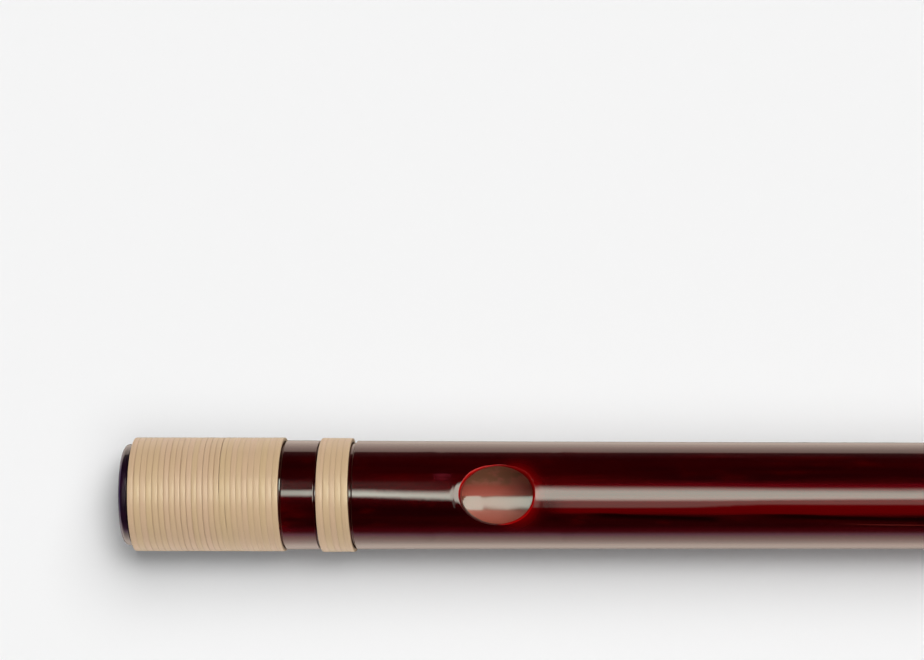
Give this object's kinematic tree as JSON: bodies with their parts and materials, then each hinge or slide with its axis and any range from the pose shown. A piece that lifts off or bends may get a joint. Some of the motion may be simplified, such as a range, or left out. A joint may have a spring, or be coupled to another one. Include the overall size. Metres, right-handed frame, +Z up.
{
  "type": "transverse bamboo flute",
  "caption": "Slim transverse flute of lacquered bamboo, bound with split rattan, with an oval mouth hole, a row of finger holes and a stopped head.",
  "frame": {"origin": "centre of the flute's length and width, in the plane it lies on", "axes": "+X from the head to the open tail, along the bore; +Z up, out of the mouth hole and finger holes"},
  "size_m": [0.405, 0.0208, 0.0208],
  "materials": {
    "lacquered_bamboo": "gloss lacquer",
    "rattan": "satin",
    "dark_lacquer": "gloss lacquer",
    "cork": "matte",
    "beeswax": "satin"
  },
  "bodies": {
    "root": {"bamboo_tube": "lacquered_bamboo", "head_cap": "dark_lacquer", "head_plug": "cork", "wax_wall": "beeswax", "head_binding": "rattan", "neck_ring": "rattan", "hole_ring_1": "rattan", "hole_ring_2": "rattan", "hole_ring_3": "rattan", "hole_ring_4": "rattan", "hole_ring_5": "rattan", "hole_ring_6": "rattan", "hole_ring_7": "rattan", "tail_ring": "rattan", "tail_binding": "rattan"}
  },
  "joints": []
}
